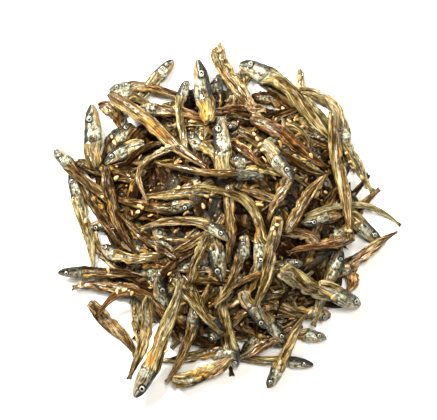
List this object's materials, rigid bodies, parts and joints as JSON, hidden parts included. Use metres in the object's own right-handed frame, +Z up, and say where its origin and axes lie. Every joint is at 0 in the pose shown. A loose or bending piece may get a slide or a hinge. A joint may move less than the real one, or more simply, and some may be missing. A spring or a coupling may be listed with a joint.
{
  "type": "heap of dried anchovies",
  "caption": "Loose round heap of small dried glazed anchovies with sesame seeds, lying on its flat underside.",
  "frame": {"origin": "middle of the heap's outline, on the surface it lies on", "axes": "+Z up, +Y towards the top edge of the picture, +X towards its right edge"},
  "size_m": [0.1754, 0.1792, 0.0362],
  "materials": {
    "glazed_fish_skin": "glossy"
  },
  "bodies": {
    "root": {"anchovy_heap": "glazed_fish_skin"}
  },
  "joints": []
}
